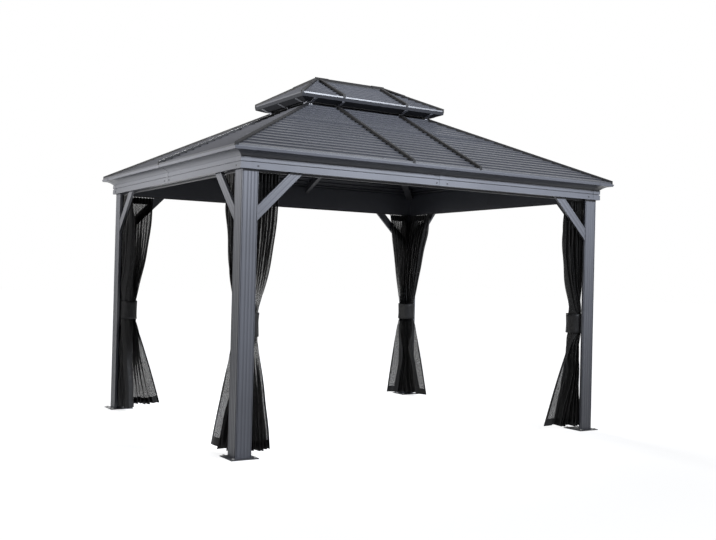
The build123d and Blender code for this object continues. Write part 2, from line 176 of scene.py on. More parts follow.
def finish_node(name, material):
    """Give a CAD node its finish."""
    slots = nodes[name].data.materials
    slots.clear()
    slots.append(material)


# The feet's coat carries the painted shade of the darker foot grey.
foot_painted_shade_coat = coated_metal("foot_powder_coat_painted_shade", FOOT_PAINTED_SHADE_GREY, 0.5)
bolt_zinc = bpy.data.materials.new("zinc_plated_steel")
bolt_zinc.use_nodes = True
zinc_tree = bolt_zinc.node_tree
zinc_shader = zinc_tree.nodes["Principled BSDF"]
zinc_shader.inputs["Metallic"].default_value = 1.0
zinc_place = zinc_tree.nodes.new("ShaderNodeTexCoord").outputs["Object"]
zinc_mottle = noise(zinc_tree, zinc_place, 400.0, 3.0)
zinc_colour = mix_colours(zinc_tree, zinc_mottle, (0.32, 0.32, 0.33), (0.46, 0.46, 0.45))
zinc_tree.links.new(zinc_colour, zinc_shader.inputs["Base Color"])
zinc_tree.links.new(remap(zinc_tree, zinc_mottle, 0.3, 0.5), zinc_shader.inputs["Roughness"])


def select_only(piece):
    bpy.ops.object.select_all(action="DESELECT")
    piece.select_set(True)
    bpy.context.view_layer.objects.active = piece


def select_faces(piece, wanted):
    """Select the faces of a piece that a test on centre and normal picks out, and go to edit mode."""
    select_only(piece)
    bpy.ops.object.mode_set(mode="EDIT")
    bpy.ops.mesh.select_all(action="DESELECT")
    bpy.ops.object.mode_set(mode="OBJECT")
    for face in piece.data.polygons:
        face.select = wanted(face.center, face.normal)
    bpy.ops.object.mode_set(mode="EDIT")
    bpy.ops.mesh.select_mode(type="FACE")


def apply_place(piece):
    select_only(piece)
    bpy.ops.object.transform_apply(location=True, rotation=True, scale=True)


def join_pieces(name, pieces):
    bpy.ops.object.select_all(action="DESELECT")
    for piece in pieces:
        piece.select_set(True)
    bpy.context.view_layer.objects.active = pieces[0]
    bpy.ops.object.join()
    joined = bpy.context.view_layer.objects.active
    joined.name = name
    joined.data.name = name
    return joined


def copies(name, model, places, material):
    """Copy a model to each place, as one piece, and take the model away."""
    made = []
    for place in places:
        copy = model.copy()
        copy.data = model.data.copy()
        copy.data.transform(place)
        bpy.context.scene.collection.objects.link(copy)
        made.append(copy)
    bpy.data.objects.remove(model)
    piece = join_pieces(name, made)
    piece.data.materials.clear()
    piece.data.materials.append(material)
    return piece


def model_hex_bolt(head_radius, head_height, washer_radius, washer_height):
    """A bolt head with a chamfered top on its washer, standing on z = 0."""
    bpy.ops.object.select_all(action="DESELECT")
    bpy.ops.mesh.primitive_cylinder_add(
        vertices=24, radius=washer_radius, depth=washer_height, location=(0, 0, washer_height / 2)
    )
    washer = bpy.context.object
    apply_place(washer)
    select_faces(washer, lambda centre, normal: normal.z > 0.9)
    bpy.ops.mesh.bevel(offset=washer_height * 0.3, segments=2)
    bpy.ops.object.mode_set(mode="OBJECT")
    bpy.ops.object.select_all(action="DESELECT")
    bpy.ops.mesh.primitive_cylinder_add(
        vertices=6, radius=head_radius, depth=head_height, location=(0, 0, washer_height + head_height / 2)
    )
    head = bpy.context.object
    apply_place(head)
    select_faces(head, lambda centre, normal: normal.z > 0.9)
    bpy.ops.mesh.inset(thickness=head_radius * 0.12, depth=head_height * 0.12)
    bpy.ops.object.mode_set(mode="OBJECT")
    return join_pieces("hex_bolt", [washer, head])


anchor_places = []
for corner in CORNERS:
    finish_node(f"foot_{corner}", foot_painted_shade_coat)
    low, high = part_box(f"foot_{corner}")
    for x in (low.x + ANCHOR_INSET, high.x - ANCHOR_INSET):
        for y in (low.y + ANCHOR_INSET, high.y - ANCHOR_INSET):
            anchor_places.append(Matrix.Translation((x, y, high.z)))
anchor_bolts = copies(
    "anchor_bolts", model_hex_bolt(BOLT_HEAD_RADIUS, BOLT_HEAD_HEIGHT, WASHER_RADIUS, WASHER_HEIGHT),
    anchor_places, bolt_zinc,
)
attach(anchor_bolts, "root")

# Posts
# Four L-shaped aluminium extrusions with a corner bead, side grooves and shallow flutes, powder
# coated dark grey. Each stands on its foot plate and is held by the beams at its top.
POST_GREY = (0.118, 0.123, 0.142)

post_coat = coated_metal("post_powder_coat", POST_GREY, 0.42)
for corner in CORNERS:
    finish_node(f"post_{corner}", post_coat)

# Beams and braces
# Crown moulded aluminium beams in two lengths a side, with thin covers over the corner mitres and
# the joints. The braces are cut from a fluted flat bar and coated with the beams.
BEAM_GREY = (0.125, 0.130, 0.150)
BRACE_GREY = (0.120, 0.124, 0.142)
COVER_GREY = (0.135, 0.140, 0.160)
SIDES = ("front", "right", "back", "left")

beam_coat = coated_metal("beam_powder_coat", BEAM_GREY, 0.40)
brace_coat = coated_metal("brace_powder_coat", BRACE_GREY, 0.42)
cover_coat = coated_metal("cover_powder_coat", COVER_GREY, 0.38)
for side in SIDES:
    finish_node(f"beam_{side}", beam_coat)
    finish_node(f"brace_{side}_left", brace_coat)
    finish_node(f"brace_{side}_right", brace_coat)
for corner in CORNERS:
    finish_node(f"corner_cap_{corner}", cover_coat)
finish_node("beam_joint_covers", cover_coat)

# Beam screws
# Black pan head screws through the band, one beside each corner cap and one on each side of a
# joint cover. They pull the beams onto the angle plates behind.
BAND_LEVEL = 2.071
BAND_FACE = {"front": 1.4705, "back": 1.4705, "left": 1.7535, "right": 1.7535}
BAND_SCREWS = {"front": 1.617, "back": 1.617, "left": 1.397, "right": 1.397}
JOINT_SCREW = 0.052
PAN_RADIUS = 0.0062
PAN_HEIGHT = 0.0034
SCREW_BLACK = (0.02, 0.02, 0.022)
SIDE_TURN = {"front": 0.0, "right": 90.0, "back": 180.0, "left": -90.0}

screw_black = coated_metal("black_screw", SCREW_BLACK, 0.35)


def on_side(side, across, out, level):
    """A place on a side: across to the right as seen from outside, and out from the middle."""
    facing = Matrix.Rotation(math.radians(SIDE_TURN[side]), 4, "Z")
    return facing @ Matrix.Translation((across, -out, level))


def model_pan_screw():
    """A domed screw head on z = 0, with a recess for the driver."""
    bpy.ops.object.select_all(action="DESELECT")
    bpy.ops.mesh.primitive_cylinder_add(
        vertices=16, radius=PAN_RADIUS, depth=PAN_HEIGHT, location=(0, 0, PAN_HEIGHT / 2)
    )
    screw = bpy.context.object
    apply_place(screw)
    select_faces(screw, lambda centre, normal: normal.z > 0.9)
    bpy.ops.mesh.bevel(offset=PAN_HEIGHT * 0.45, segments=3)
    bpy.ops.object.mode_set(mode="OBJECT")
    select_faces(screw, lambda centre, normal: normal.z > 0.99)
    bpy.ops.mesh.inset(thickness=PAN_RADIUS * 0.3, depth=-PAN_HEIGHT * 0.3)
    bpy.ops.object.mode_set(mode="OBJECT")
    return screw


face_out = Matrix.Rotation(math.radians(90.0), 4, "X")
band_places = [
    on_side(side, across, BAND_FACE[side], BAND_LEVEL) @ face_out
    for side in SIDES
    for across in (-BAND_SCREWS[side], -JOINT_SCREW, JOINT_SCREW, BAND_SCREWS[side])
]
band_screws = copies("band_screws", model_pan_screw(), band_places, screw_black)
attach(band_screws, "root")

# Roof
# Stepped sheets of painted steel between dark folded caps on the hips and battens on the seams.
# Rain and handling leave faint streaks that run down the slope.
SHEET_GREY = (0.056, 0.058, 0.068)
CAP_GREY = (0.007, 0.007, 0.008)
RAFTER_GREY = (0.05, 0.05, 0.055)
STREAKS_ACROSS = 14.0
STREAKS_DOWN = 0.8
STREAK_SHADE = 0.72
STREAK_STRENGTH = 0.35
SHEET_ROUGHNESS = 0.36


def painted_sheet(name, colour, roughness, streaks):
    """Painted steel with faint streaks; streaks holds how fast they change along x, y and z."""
    material = bpy.data.materials.new(name)
    material.use_nodes = True
    tree = material.node_tree
    shader = tree.nodes["Principled BSDF"]
    place = tree.nodes.new("ShaderNodeTexCoord").outputs["Object"]
    skin = place_group(tree, coat_group, place, Colour=(*colour, 1.0), Roughness=roughness)
    stretch = tree.nodes.new("ShaderNodeMapping")
    stretch.inputs["Scale"].default_value = streaks
    tree.links.new(place, stretch.inputs["Vector"])
    streak = remap(tree, noise(tree, stretch.outputs["Vector"], 1.0, 4.0, 0.6), 0.0, STREAK_STRENGTH)
    darker = tuple(channel * STREAK_SHADE for channel in colour)
    tree.links.new(
        mix_colours(tree, streak, skin.outputs["Colour"], darker), shader.inputs["Base Color"],
    )
    tree.links.new(skin.outputs["Roughness"], shader.inputs["Roughness"])
    tree.links.new(bump(tree, skin.outputs["Height"], 0.2, SKIN_DEPTH), shader.inputs["Normal"])
    return material


long_slope = painted_sheet(
    "painted_sheet_long", SHEET_GREY, SHEET_ROUGHNESS, (STREAKS_ACROSS, STREAKS_DOWN, STREAKS_DOWN),
)
short_slope = painted_sheet(
    "painted_sheet_short", SHEET_GREY, SHEET_ROUGHNESS, (STREAKS_DOWN, STREAKS_ACROSS, STREAKS_DOWN),
)
cap_paint = coated_metal("cap_paint", CAP_GREY, 0.55, specular=0.2)
rafter_coat = coated_metal("rafter_powder_coat", RAFTER_GREY, 0.5)
slopes = {"front": long_slope, "back": long_slope, "left": short_slope, "right": short_slope}
for side, slope in slopes.items():
    finish_node(f"roof_{side}", slope)
    finish_node(f"upper_roof_{side}", slope)
for name in ("hip_caps", "roof_battens", "upper_battens", "ridge_cap"):
    finish_node(name, cap_paint)
finish_node("roof_rafters", rafter_coat)
finish_node("curtain_rails", rafter_coat)

# Roof screws
# Self-drilling screws with washers, down the middle of every batten. They are coated black and go
# through the batten and the sheets' edges into the rafter.
LIP_X, LIP_Y, LIP_LEVEL = 1.8385, 1.5555, 2.190
ROOF_PITCH, UPPER_PITCH = 26.21, 25.52
UPPER_OUT, UPPER_LEVEL = 0.465, 2.8631
SEAM_OFFSET = 0.330
BATTEN_HEIGHT = 0.028
SCREW_STEPS = (0.09, 0.37, 0.65, 0.93, 1.13)
UPPER_SCREW_STEPS = (0.07, 0.33)
ROOF_HEAD_RADIUS, ROOF_HEAD_HEIGHT = 0.0046, 0.0042
ROOF_WASHER_RADIUS, ROOF_WASHER_HEIGHT = 0.0078, 0.0014


def batten_top(side, seam, edge, level, pitch, run):
    """The top of a batten, this far in from the roof's edge, with z standing off the slope."""
    slope = math.radians(pitch)
    rise = run * math.tan(slope) + BATTEN_HEIGHT / math.cos(slope)
    return on_side(side, seam, edge - run, level + rise) @ Matrix.Rotation(slope, 4, "X")


roof_places = [
    batten_top(side, seam, edge, LIP_LEVEL, ROOF_PITCH, run)
    for side, seams, edge in (
        ("front", (-SEAM_OFFSET, SEAM_OFFSET), LIP_Y), ("back", (-SEAM_OFFSET, SEAM_OFFSET), LIP_Y),
        ("left", (0.0,), LIP_X), ("right", (0.0,), LIP_X),
    )
    for seam in seams
    for run in SCREW_STEPS
]
roof_places += [
    batten_top(side, seam, UPPER_OUT, UPPER_LEVEL, UPPER_PITCH, run)
    for side in ("front", "back")
    for seam in (-SEAM_OFFSET, SEAM_OFFSET)
    for run in UPPER_SCREW_STEPS
]
roof_screws = copies(
    "roof_screws",
    model_hex_bolt(ROOF_HEAD_RADIUS, ROOF_HEAD_HEIGHT, ROOF_WASHER_RADIUS, ROOF_WASHER_HEIGHT),
    roof_places, screw_black,
)
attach(roof_screws, "root")

# Ridge end covers
# A folded cover over each end of the ridge, where two hip caps meet it. It is pressed to the caps'
# shape, a little larger, and sits over them.
RIDGE_END = 0.370
COVER_REACH = 0.135
COVER_SKIN = 0.004
MERGE_DISTANCE = 0.00005


def model_ridge_cover(way):
    """The ridge cap's own shape round one end of the ridge, grown by the cover's thickness."""
    cover = nodes["ridge_cap"].copy()
    cover.data = nodes["ridge_cap"].data.copy()
    cover.name = "ridge_cover_left" if way < 0 else "ridge_cover_right"
    bpy.context.scene.collection.objects.link(cover)
    select_only(cover)
    bpy.ops.object.mode_set(mode="EDIT")
    bpy.ops.mesh.select_all(action="SELECT")
    bpy.ops.mesh.remove_doubles(threshold=MERGE_DISTANCE)
    for place, normal in (
        ((way * (RIDGE_END - COVER_REACH), 0, 0), (-way, 0, 0)),
        ((way * (RIDGE_END + COVER_REACH), 0, 0), (way, 0, 0)),
    ):
        bpy.ops.mesh.select_all(action="SELECT")
        bpy.ops.mesh.bisect(plane_co=place, plane_no=normal, use_fill=True, clear_outer=True)
    bpy.ops.mesh.select_all(action="SELECT")
    bpy.ops.mesh.normals_make_consistent(inside=False)
    bpy.ops.transform.shrink_fatten(value=COVER_SKIN)
    bpy.ops.object.mode_set(mode="OBJECT")
    cover.data.materials.clear()
    cover.data.materials.append(cap_paint)
    return cover


for way in (-1, 1):
    ridge_cover = model_ridge_cover(way)
    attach(ridge_cover, "root")

# Vent and upper eave
# A coated curb closes the top of the main roof, and short brackets screwed to it carry the upper
# eave over it. All are dark powder-coated sheet, with the brackets in the beams' lighter grey.
VENT_GREY = (0.020, 0.021, 0.025)
vent_coat = coated_metal("vent_powder_coat", VENT_GREY, 0.7, specular=0.15)
for name in ("vent_curb", "upper_eave"):
    finish_node(name, vent_coat)
finish_node("vent_brackets", cover_coat)

# Vent straps
# Bent strips of coated steel that tie the upper eave to the curb: up the curb's face, out under the
# soffit and along the sloping underside.
CURB_FACE = {"front": 0.367, "back": 0.367, "left": 0.650, "right": 0.650}
STRAP_PLACES = {
    "front": (-0.612, -0.33, 0.33, 0.612), "back": (-0.612, -0.33, 0.33, 0.612),
    "left": (-0.329, 0.0, 0.329), "right": (-0.329, 0.0, 0.329),
}
STRAP_WIDTH = 0.030
STRAP_THICKNESS = 0.0022
EDGE_SLACK = 0.001
STRAP_BENDS = ((0.0, 2.7905), (0.0, 2.8107), (0.0255, 2.8107), (0.0880, 2.8321))


def model_strap():
    """One strap, facing the front, with the curb's face at y = 0."""
    bpy.ops.object.select_all(action="DESELECT")
    first, second = STRAP_BENDS[0], STRAP_BENDS[1]
    bpy.ops.mesh.primitive_plane_add(size=1.0)
    strap = bpy.context.object
    strap.data.transform(Matrix.Diagonal((STRAP_WIDTH, second[1] - first[1], 1.0, 1.0)))
    strap.data.transform(Matrix.Rotation(math.radians(90.0), 4, "X"))
    strap.data.transform(Matrix.Translation((0, -first[0], (first[1] + second[1]) / 2)))
    select_only(strap)
    bpy.ops.object.mode_set(mode="EDIT")
    bpy.ops.mesh.select_mode(type="EDGE")
    bpy.ops.mesh.select_all(action="DESELECT")
    bpy.ops.object.mode_set(mode="OBJECT")
    for edge in strap.data.edges:
        ends = [strap.data.vertices[index].co.z for index in edge.vertices]
        edge.select = min(ends) > second[1] - EDGE_SLACK
    for point in strap.data.vertices:
        point.select = point.co.z > second[1] - EDGE_SLACK
    bpy.ops.object.mode_set(mode="EDIT")
    for before, after in zip(STRAP_BENDS[1:], STRAP_BENDS[2:]):
        move = (0, before[0] - after[0], after[1] - before[1])
        bpy.ops.mesh.extrude_region_move(TRANSFORM_OT_translate={"value": move})
    bpy.ops.object.mode_set(mode="OBJECT")
    wall = strap.modifiers.new("wall", "SOLIDIFY")
    wall.thickness = STRAP_THICKNESS
    wall.offset = 1.0
    bpy.ops.object.modifier_apply(modifier=wall.name)
    return strap


strap_places = [
    on_side(side, across, CURB_FACE[side], 0.0)
    for side in STRAP_PLACES
    for across in STRAP_PLACES[side]
]
vent_straps = copies("vent_straps", model_strap(), strap_places, cover_coat)
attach(vent_straps, "root")

# Netting curtains
# Black mesh panels, two at each post, one along each beam. They hang from gliders in the rails, are
# pushed together at the post and tied. Each is one sheet in deep pleats, with a woven hem and tape.
CURTAIN_CORNER = {
    "front_left": (-1, -1), "front_right": (1, -1), "back_right": (1, 1), "back_left": (-1, 1),
}
POST_CORNER = (1.729, 1.446)
PANEL_WIDTH = {"long": 1.62, "short": 1.34}
PANEL_DROP = 2.0
PLEATS = {"long": 9, "short": 8}
PLEAT_STEPS = 12
ROWS_BELOW, ROWS_TIED, ROWS_ABOVE = 30, 6, 36
NET_TOP, TIE_TOP, TIE_FOOT, NET_HEM = 2.033, 1.030, 0.860, 0.036
# Ends of a gathered panel at the rail, the tie and the hem: along the rail, then in from the face.
RAIL_POST_END, TIE_POST_END, HEM_POST_END = (0.075, 0.044), (0.107, 0.123), (0.060, 0.088)
TIE_FREE_END = (0.172, 0.060)
RAIL_INSET = 0.044
RAIL_REACH = {
    "front_left": (0.312, 0.350), "front_right": (0.335, 0.330),
    "back_right": (0.312, 0.430), "back_left": (0.350, 0.330),
}
HEM_FREE_END = {
    "front_left": ((0.315, 0.120), (0.450, 0.005)), "front_right": ((0.450, 0.130), (0.420, 0.060)),
    "back_right": ((0.370, 0.130), (0.470, 0.050)), "back_left": ((0.440, 0.130), (0.420, 0.060)),
}
LOOSE_EDGE = {
    "front_left": (0.0, 1.0), "front_right": (1.0, 0.3), "back_right": (1.0, 1.0), "back_left": (0.35, 0.3),
}
DRAPE = {"front_left": 2.3, "front_right": 2.7, "back_right": 1.25, "back_left": 1.9}
FOLD_DEPTH = {"rail": 0.017, "body": 0.050, "tie": 0.060, "hem": 0.058}
FLAP_SHARE = 0.10
FLAP_LENGTH = 0.135
MOST_FLAP = 0.6
BELLY = 0.016
SWING = 0.012
HEM_DIP = 0.007
HEM_WIDTH = 0.065
TAPE_WIDTH = 0.024
NET_BLACK = (0.0042, 0.0042, 0.0045)
NET_SHEEN = 0.25
HOLE_ALPHA = 0.40
THREADS_PER_METRE = 640.0
THREAD_EDGE = (0.33, 0.57)


def ease(value):
    value = min(max(value, 0.0), 1.0)
    return value * value * (3.0 - 2.0 * value)


def blend(first, second, share):
    return tuple(a + (b - a) * share for a, b in zip(first, second))


def row_level(rise):
    """The height of a point this share of the way up the cloth, with whole rows at the tie's edges."""
    row = rise * (ROWS_BELOW + ROWS_TIED + ROWS_ABOVE)
    if row <= ROWS_BELOW:
        return NET_HEM + (TIE_FOOT - NET_HEM) * row / ROWS_BELOW
    if row <= ROWS_BELOW + ROWS_TIED:
        return TIE_FOOT + (TIE_TOP - TIE_FOOT) * (row - ROWS_BELOW) / ROWS_TIED
    return TIE_TOP + (NET_TOP - TIE_TOP) * (row - ROWS_BELOW - ROWS_TIED) / ROWS_ABOVE


def netting_point(share, level, pleats, rail_reach, hem_free_end, loose_edge, drape, wobble):
    """Where a point of a panel hangs: along its own rail and in from the post's face."""
    if level > TIE_FOOT:
        down = min((NET_TOP - level) / (NET_TOP - TIE_TOP), 1.0)
        fall, spread = down ** drape, 0.0
        near = blend(RAIL_POST_END, TIE_POST_END, fall)
        far = blend((rail_reach, RAIL_INSET), TIE_FREE_END, fall)
        deep = FOLD_DEPTH["rail"] + (FOLD_DEPTH["body"] - FOLD_DEPTH["rail"]) * ease(down * 3.6)
        deep += (FOLD_DEPTH["tie"] - FOLD_DEPTH["body"]) * ease(fall)
        belly = BELLY * math.sin(math.pi * min(down * 1.15, 1.0))
    else:
        down = (TIE_FOOT - level) / (TIE_FOOT - NET_HEM)
        fall, spread, belly = 1.0, down ** 0.82, 0.0
        near = blend(TIE_POST_END, HEM_POST_END, spread)
        far = blend(TIE_FREE_END, hem_free_end, spread)
        deep = FOLD_DEPTH["tie"] + (FOLD_DEPTH["hem"] - FOLD_DEPTH["tie"]) * spread
    chord = math.hypot(far[0] - near[0], far[1] - near[1])
    flat = 1.0 - FLAP_SHARE
    loose = 0.0
    if not TIE_FOOT <= level <= TIE_TOP:
        loose = loose_edge * ease(down * 2.2) * (1.0 if spread else 0.4)
    flap = min(FLAP_LENGTH / chord, MOST_FLAP)
    if share < flat:
        split = share / flat * (1.0 - flap)
    else:
        split = 1.0 - flap + (share - flat) / FLAP_SHARE * flap
    at = share + (split - share) * loose if spread else share
    index = min(int(share * pleats), pleats - 1)
    between = share * pleats - index
    size = 0.80 + 0.20 * math.sin(wobble[index] + 1.9 * level)
    drift = 0.45 * math.sin(2.1 * level + wobble[index + 1])
    drift = drift * (1.0 - ease(2 * abs(between - 0.5)))
    crinkle = 0.10 * math.sin(17.0 * level + wobble[index + 2] * 3)
    fold = math.sin(2 * math.pi * share * pleats + drift) + crinkle
    fold *= size
    if share > flat:
        fold *= 1.0 - 0.88 * loose * ease((share - flat) / FLAP_SHARE * 3.0)
    swing = spread * SWING * math.sin(2 * math.pi * share * 1.6 + wobble[0])
    round_off = math.sqrt(max(0.12, 1.0 - (2 * at - 1.0) ** 2 * 0.62 * fall))
    side = ((near[1] - far[1]) / chord, (far[0] - near[0]) / chord)
    push = belly + swing + deep * round_off * fold
    return (
        near[0] + (far[0] - near[0]) * at + side[0] * push,
        near[1] + (far[1] - near[1]) * at + side[1] * push,
    )


def build_netting_group():
    """Woven mesh: square holes between threads."""
    takes = (
        ("Vector", "NodeSocketVector", (0.0, 0.0, 0.0)),
        ("Threads", "NodeSocketFloat", THREADS_PER_METRE),
    )
    gives = (("Thread", "NodeSocketFloat"), ("Height", "NodeSocketFloat"))
    group, start, end = new_group("netting_weave", takes, gives)
    scaled = group.nodes.new("ShaderNodeVectorMath")
    scaled.operation = "SCALE"
    group.links.new(start.outputs["Vector"], scaled.inputs[0])
    group.links.new(start.outputs["Threads"], scaled.inputs["Scale"])
    split = group.nodes.new("ShaderNodeSeparateXYZ")
    group.links.new(scaled.outputs[0], split.inputs[0])
    waves = []
    for axis in (0, 1):
        wave = group.nodes.new("ShaderNodeMath")
        wave.operation = "PINGPONG"
        wave.inputs[1].default_value = 1.0
        group.links.new(split.outputs[axis], wave.inputs[0])
        waves.append(wave)
    over = group.nodes.new("ShaderNodeMath")
    over.operation = "MAXIMUM"
    group.links.new(waves[0].outputs[0], over.inputs[0])
    group.links.new(waves[1].outputs[0], over.inputs[1])
    cut = group.nodes.new("ShaderNodeMapRange")
    cut.inputs["From Min"].default_value = THREAD_EDGE[0]
    cut.inputs["From Max"].default_value = THREAD_EDGE[1]
    group.links.new(over.outputs[0], cut.inputs["Value"])
    group.links.new(cut.outputs["Result"], end.inputs["Thread"])
    group.links.new(over.outputs[0], end.inputs["Height"])
    return group


netting_group = build_netting_group()


def netting_material(name, width):
    """Black mesh cloth. The UV map is in shares of the panel, so it is scaled to metres first."""
    material = bpy.data.materials.new(name)
    material.use_nodes = True
    tree = material.node_tree
    shader = tree.nodes["Principled BSDF"]
    shader.inputs["Specular IOR Level"].default_value = NET_SHEEN
    uv = tree.nodes.new("ShaderNodeUVMap")
    uv.uv_map = "UVMap"
    metres = tree.nodes.new("ShaderNodeMapping")
    metres.inputs["Scale"].default_value = (width, PANEL_DROP, 1.0)
    tree.links.new(uv.outputs["UV"], metres.inputs["Vector"])
    weave = place_group(tree, netting_group, metres.outputs["Vector"])
    split = tree.nodes.new("ShaderNodeSeparateXYZ")
    tree.links.new(metres.outputs["Vector"], split.inputs[0])

    def past(axis, edge, below):
        test = tree.nodes.new("ShaderNodeMath")
        test.operation = "LESS_THAN" if below else "GREATER_THAN"
        test.inputs[1].default_value = edge
        tree.links.new(split.outputs[axis], test.inputs[0])
        return test.outputs[0]

    def either(first, second):
        join = tree.nodes.new("ShaderNodeMath")
        join.operation = "MAXIMUM"
        tree.links.new(first, join.inputs[0])
        tree.links.new(second, join.inputs[1])
        return join.outputs[0]

    tape = either(past(1, HEM_WIDTH, True), past(1, PANEL_DROP - HEM_WIDTH, False))
    tape = either(tape, either(past(0, TAPE_WIDTH, True), past(0, width - TAPE_WIDTH, False)))
    cover = tree.nodes.new("ShaderNodeMapRange")
    cover.inputs["To Min"].default_value = HOLE_ALPHA
    tree.links.new(weave.outputs["Thread"], cover.inputs["Value"])
    tree.links.new(either(cover.outputs["Result"], tape), shader.inputs["Alpha"])
    mottle = noise(tree, metres.outputs["Vector"], 30.0, 3.0)
    tree.links.new(
        mix_colours(tree, mottle, NET_BLACK, tuple(channel * 2.2 for channel in NET_BLACK)),
        shader.inputs["Base Color"],
    )
    tree.links.new(remap(tree, mottle, 0.45, 0.65), shader.inputs["Roughness"])
    tree.links.new(bump(tree, weave.outputs["Height"], 0.3, SKIN_DEPTH), shader.inputs["Normal"])
    return material


net_cloth = {size: netting_material(f"netting_{size}", width) for size, width in PANEL_WIDTH.items()}
draw = random.Random(7)
for corner, (sx, sy) in CURTAIN_CORNER.items():
    hung = zip(("long", "short"), RAIL_REACH[corner], HEM_FREE_END[corner], LOOSE_EDGE[corner])
    for size, rail_reach, hem_free_end, loose_edge in hung:
        pleats = PLEATS[size]
        wobble = [draw.uniform(0, 2 * math.pi) for _ in range(pleats + 3)]
        bpy.ops.object.select_all(action="DESELECT")
        bpy.ops.mesh.primitive_grid_add(
            x_subdivisions=pleats * PLEAT_STEPS, y_subdivisions=ROWS_BELOW + ROWS_TIED + ROWS_ABOVE, size=1.0
        )
        panel = bpy.context.object
        panel.name = f"netting_{corner}_{size}"
        for point in panel.data.vertices:
            share, rise = point.co.x + 0.5, point.co.y + 0.5
            level = row_level(rise)
            along, aside = netting_point(
                share, level, pleats, rail_reach, hem_free_end, loose_edge, DRAPE[corner], wobble,
            )
            if size == "short":
                along, aside = aside, along
            level += HEM_DIP * math.sin(2 * math.pi * share * 2.3 + wobble[1]) * ease(1.0 - rise * 3.5)
            point.co = (sx * (POST_CORNER[0] - along), sy * (POST_CORNER[1] - aside), level)
        panel.data.materials.append(net_cloth[size])
        panel.data.shade_smooth()
        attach(panel, "root")
        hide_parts(f"curtain_{corner}")

# Gliders
# Black nylon gliders in the rails, one for each pleat, with an eye that the netting's tape is
# hooked to.
GLIDER_LINE = 0.0385
GLIDER_SIZE = (0.012, 0.008, 0.006)
GLIDER_LEVEL = 2.0330
EYE_RADIUS = 0.0046
EYE_WIRE = 0.0012
GLIDER_BLACK = (0.012, 0.012, 0.012)
glider_nylon = coated_metal("glider_nylon", GLIDER_BLACK, 0.5)


def model_glider():
    """A glider with its middle at the origin and its eye below."""
    bpy.ops.object.select_all(action="DESELECT")
    bpy.ops.mesh.primitive_cube_add(size=1.0)
    body = bpy.context.object
    body.data.transform(Matrix.Diagonal((*GLIDER_SIZE, 1.0)))
    select_only(body)
    bpy.ops.object.mode_set(mode="EDIT")
    bpy.ops.mesh.select_all(action="SELECT")
    bpy.ops.mesh.bevel(offset=GLIDER_SIZE[2] * 0.25, segments=1)
    bpy.ops.object.mode_set(mode="OBJECT")
    bpy.ops.object.select_all(action="DESELECT")
    bpy.ops.mesh.primitive_torus_add(
        major_radius=EYE_RADIUS, minor_radius=EYE_WIRE, major_segments=10, minor_segments=5,
        location=(0, 0, -GLIDER_SIZE[2] / 2 - EYE_RADIUS * 0.8), rotation=(math.radians(90.0), 0, 0),
    )
    eye = bpy.context.object
    apply_place(eye)
    return join_pieces("glider", [body, eye])


glider_places = []
for corner, (sx, sy) in CURTAIN_CORNER.items():
    for size, rail_reach in zip(("long", "short"), RAIL_REACH[corner]):
        for index in range(PLEATS[size] + 1):
            along = RAIL_POST_END[0] + (rail_reach - RAIL_POST_END[0]) * index / PLEATS[size]
            along, aside = (along, GLIDER_LINE) if size == "long" else (GLIDER_LINE, along)
            spot = Vector((sx * (POST_CORNER[0] - along), sy * (POST_CORNER[1] - aside), GLIDER_LEVEL))
            turned = Matrix.Rotation(math.radians(90.0 if size == "long" else 0.0), 4, "Z")
            glider_places.append(Matrix.Translation(spot) @ turned)
gliders = copies("gliders", model_glider(), glider_places, glider_nylon)
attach(gliders, "root")

# Curtain ties
# A band of closely woven black cloth wrapped round each bundle of netting, at one height on all
# four posts. It holds the pleats together by its own pull.
TIE_MIDDLE = (TIE_TOP + TIE_FOOT) / 2
TIE_BAND = TIE_TOP - TIE_FOOT
TIE_INSET = 0.115
TIE_HALF, TIE_DEPTH = 0.0915, 0.0755
TIE_BLACK = (0.0055, 0.0055, 0.006)
TIE_CLOTH = 0.0022
tie_cloth = bpy.data.materials.new("tie_cloth")
tie_cloth.use_nodes = True
tie_tree = tie_cloth.node_tree
tie_shader = tie_tree.nodes["Principled BSDF"]
tie_shader.inputs["Specular IOR Level"].default_value = NET_SHEEN
tie_place = tie_tree.nodes.new("ShaderNodeTexCoord").outputs["Object"]
tie_mottle = noise(tie_tree, tie_place, 60.0, 3.0)
tie_tree.links.new(
    mix_colours(tie_tree, tie_mottle, TIE_BLACK, tuple(channel * 2.0 for channel in TIE_BLACK)),
    tie_shader.inputs["Base Color"],
)
tie_tree.links.new(remap(tie_tree, tie_mottle, 0.5, 0.7), tie_shader.inputs["Roughness"])
